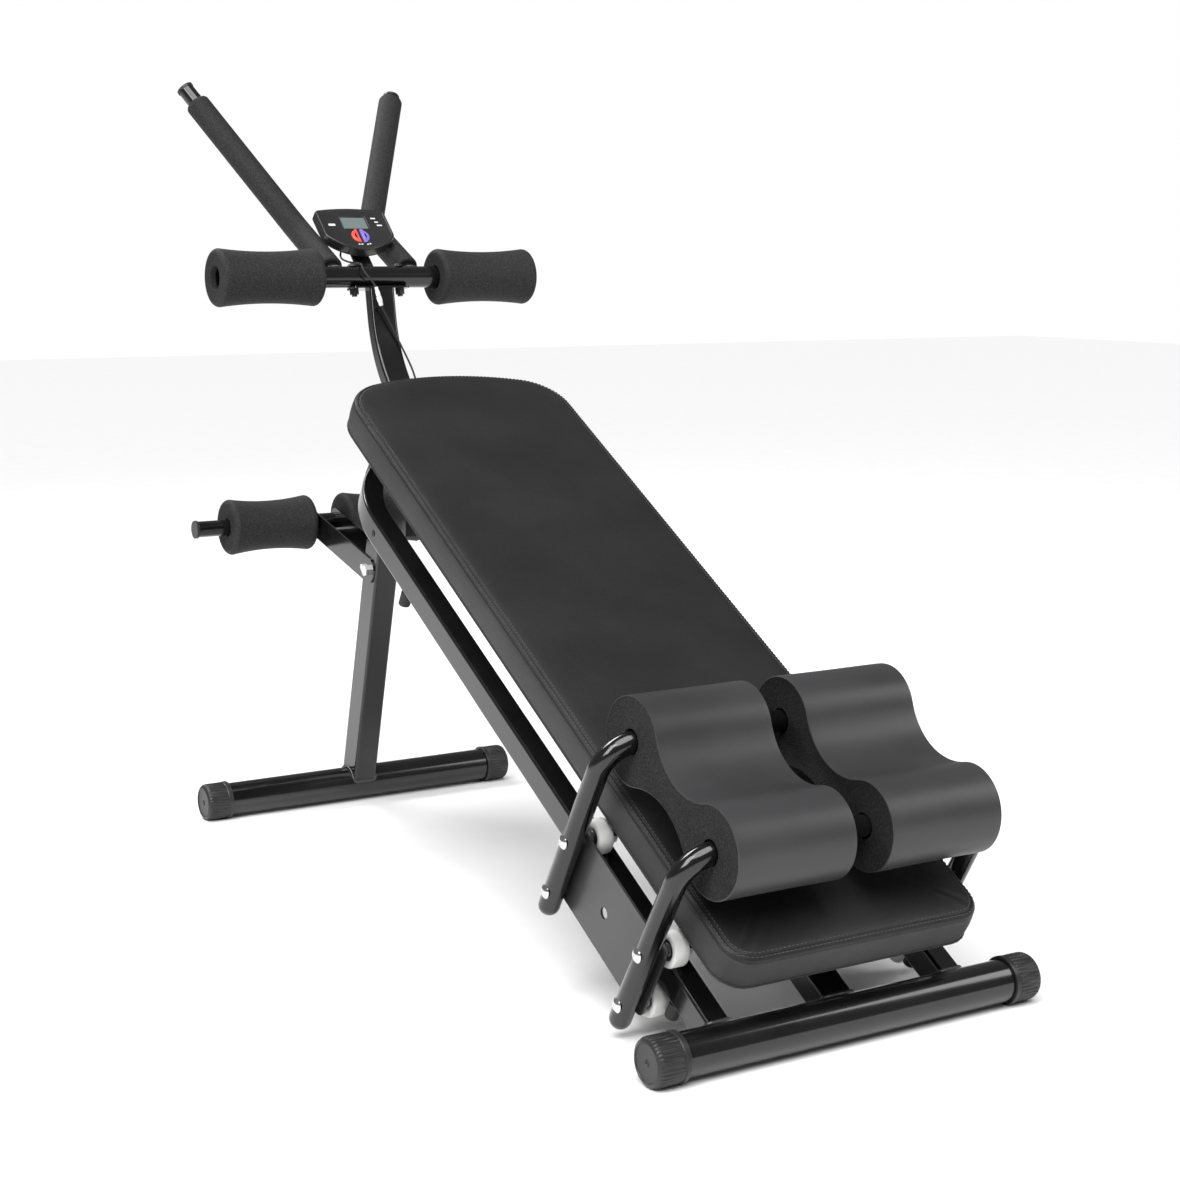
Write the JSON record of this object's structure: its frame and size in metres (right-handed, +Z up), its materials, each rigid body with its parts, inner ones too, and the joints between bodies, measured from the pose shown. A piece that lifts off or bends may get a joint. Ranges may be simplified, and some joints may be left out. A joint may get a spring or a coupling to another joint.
{
  "type": "decline sit up bench",
  "caption": "Decline sit up bench with a padded back board, a sliding roller carriage with wave foam pads, foam rolls, grab handles, a rep counter and a folding rear leg.",
  "frame": {"origin": "on the floor, under the middle of the overall length and width", "axes": "+Z up, +Y towards the raised end, +X across the bench"},
  "size_m": [0.534, 1.5054, 1.119],
  "materials": {
    "frame_paint": "gloss",
    "black_plastic": "satin",
    "bolt_steel": "polished",
    "plain_steel": "satin",
    "pad_leather": "satin",
    "plywood": "matte",
    "rubber": "matte",
    "foam": "matte",
    "lcd": "gloss",
    "white_plastic": "gloss",
    "red_plastic": "gloss",
    "blue_plastic": "gloss"
  },
  "bodies": {
    "frame": {"front_foot_tube": "frame_paint", "front_foot_caps": "black_plastic", "left_rail": "frame_paint", "right_rail": "frame_paint", "center_tube": "frame_paint", "rear_bracket": "frame_paint", "hinge_bolt": "bolt_steel", "stop_bolt": "bolt_steel", "pad_brackets": "frame_paint", "pad_board": "plywood", "pad_cushion": "pad_leather", "pad_screws": "bolt_steel", "rail_stops": "rubber", "neck": "frame_paint", "frame_bolts": "bolt_steel", "saddle_plate": "frame_paint", "cross_tube": "frame_paint", "handle_left": "frame_paint", "handle_right": "frame_paint", "grip_left": "foam", "grip_right": "foam", "handle_caps": "black_plastic", "console_housing": "black_plastic", "console_back": "black_plastic", "console_lens": "lcd", "console_strap": "frame_paint", "sensor_lead_upper": "rubber", "lead_connector": "white_plastic", "sensor_lead_lower": "rubber", "reed_sensor": "black_plastic"},
    "rear_leg": {"rear_post": "frame_paint", "post_bush": "plain_steel", "rear_foot_tube": "frame_paint", "rear_foot_caps": "black_plastic", "ankle_bracket": "frame_paint", "ankle_bolts": "bolt_steel", "ankle_axle": "frame_paint", "ankle_caps": "black_plastic"},
    "carriage": {"bar_front": "frame_paint", "bar_back": "frame_paint", "side_plates": "frame_paint", "carriage_bolts": "bolt_steel", "carriage_spacers": "plain_steel", "wave_pad_left": "foam", "wave_pad_right": "foam", "sensor_magnet": "black_plastic"},
    "ankle_roll_left": {"ankle_roll_left": "foam"},
    "ankle_roll_right": {"ankle_roll_right": "foam"},
    "knee_roll_left": {"knee_roll_left": "foam"},
    "knee_roll_right": {"knee_roll_right": "foam"},
    "roller_low_left_top": {"roller_low_left_top": "white_plastic"},
    "roller_low_left_under": {"roller_low_left_under": "white_plastic"},
    "roller_low_right_top": {"roller_low_right_top": "white_plastic"},
    "roller_low_right_under": {"roller_low_right_under": "white_plastic"},
    "roller_high_left_top": {"roller_high_left_top": "white_plastic"},
    "roller_high_left_under": {"roller_high_left_under": "white_plastic"},
    "roller_high_right_top": {"roller_high_right_top": "white_plastic"},
    "roller_high_right_under": {"roller_high_right_under": "white_plastic"},
    "button_red": {"button_red": "red_plastic"},
    "button_blue": {"button_blue": "blue_plastic"}
  },
  "joints": [
    {"name": "rear_leg_fold", "type": "hinge", "parent": "frame", "child": "rear_leg", "pos_m": [0, 0.40462, 0.51212], "axis": [-1, 0, 0], "range_deg": [0, 56]},
    {"name": "carriage_slide", "type": "slide", "parent": "frame", "child": "carriage", "axis": [0, 0.866, 0.5], "range_m": [0, 0.5]},
    {"name": "knee_roll_left_turn", "type": "hinge", "parent": "frame", "child": "knee_roll_left", "pos_m": [0, 0.44213, 0.82279], "axis": [1, 0, 0], "continuous": true},
    {"name": "knee_roll_right_turn", "type": "hinge", "parent": "frame", "child": "knee_roll_right", "pos_m": [0, 0.44213, 0.82279], "axis": [1, 0, 0], "continuous": true},
    {"name": "ankle_roll_left_turn", "type": "hinge", "parent": "rear_leg", "child": "ankle_roll_left", "pos_m": [0, 0.63872, 0.43298], "axis": [1, 0, 0], "continuous": true},
    {"name": "ankle_roll_right_turn", "type": "hinge", "parent": "rear_leg", "child": "ankle_roll_right", "pos_m": [0, 0.63872, 0.43298], "axis": [1, 0, 0], "continuous": true},
    {"name": "roller_low_left_top_spin", "type": "hinge", "parent": "carriage", "child": "roller_low_left_top", "pos_m": [0, -0.62796, 0.11315], "axis": [-1, 0, 0], "range_deg": [0, 1400]},
    {"name": "roller_low_left_under_spin", "type": "hinge", "parent": "carriage", "child": "roller_low_left_under", "pos_m": [0, -0.58846, 0.04473], "axis": [1, 0, 0], "range_deg": [0, 1400]},
    {"name": "roller_low_right_top_spin", "type": "hinge", "parent": "carriage", "child": "roller_low_right_top", "pos_m": [0, -0.62796, 0.11315], "axis": [-1, 0, 0], "range_deg": [0, 1400]},
    {"name": "roller_low_right_under_spin", "type": "hinge", "parent": "carriage", "child": "roller_low_right_under", "pos_m": [0, -0.58846, 0.04473], "axis": [1, 0, 0], "range_deg": [0, 1400]},
    {"name": "roller_high_left_top_spin", "type": "hinge", "parent": "carriage", "child": "roller_high_left_top", "pos_m": [0, -0.4738, 0.20215], "axis": [-1, 0, 0], "range_deg": [0, 1400]},
    {"name": "roller_high_left_under_spin", "type": "hinge", "parent": "carriage", "child": "roller_high_left_under", "pos_m": [0, -0.4343, 0.13373], "axis": [1, 0, 0], "range_deg": [0, 1400]},
    {"name": "roller_high_right_top_spin", "type": "hinge", "parent": "carriage", "child": "roller_high_right_top", "pos_m": [0, -0.4738, 0.20215], "axis": [-1, 0, 0], "range_deg": [0, 1400]},
    {"name": "roller_high_right_under_spin", "type": "hinge", "parent": "carriage", "child": "roller_high_right_under", "pos_m": [0, -0.4343, 0.13373], "axis": [1, 0, 0], "range_deg": [0, 1400]},
    {"name": "button_red_press", "type": "slide", "parent": "frame", "child": "button_red", "axis": [0, 0.6947, -0.7193], "range_m": [0, 0.0012], "stiffness_N_per_m": 300},
    {"name": "button_blue_press", "type": "slide", "parent": "frame", "child": "button_blue", "axis": [0, 0.6947, -0.7193], "range_m": [0, 0.0012], "stiffness_N_per_m": 300}
  ],
  "couplings": [
    {"joint": "roller_low_left_top_spin", "follows": "carriage_slide", "rad_per_m": 47.619},
    {"joint": "roller_low_left_under_spin", "follows": "carriage_slide", "rad_per_m": 47.619},
    {"joint": "roller_low_right_top_spin", "follows": "carriage_slide", "rad_per_m": 47.619},
    {"joint": "roller_low_right_under_spin", "follows": "carriage_slide", "rad_per_m": 47.619},
    {"joint": "roller_high_left_top_spin", "follows": "carriage_slide", "rad_per_m": 47.619},
    {"joint": "roller_high_left_under_spin", "follows": "carriage_slide", "rad_per_m": 47.619},
    {"joint": "roller_high_right_top_spin", "follows": "carriage_slide", "rad_per_m": 47.619},
    {"joint": "roller_high_right_under_spin", "follows": "carriage_slide", "rad_per_m": 47.619}
  ]
}
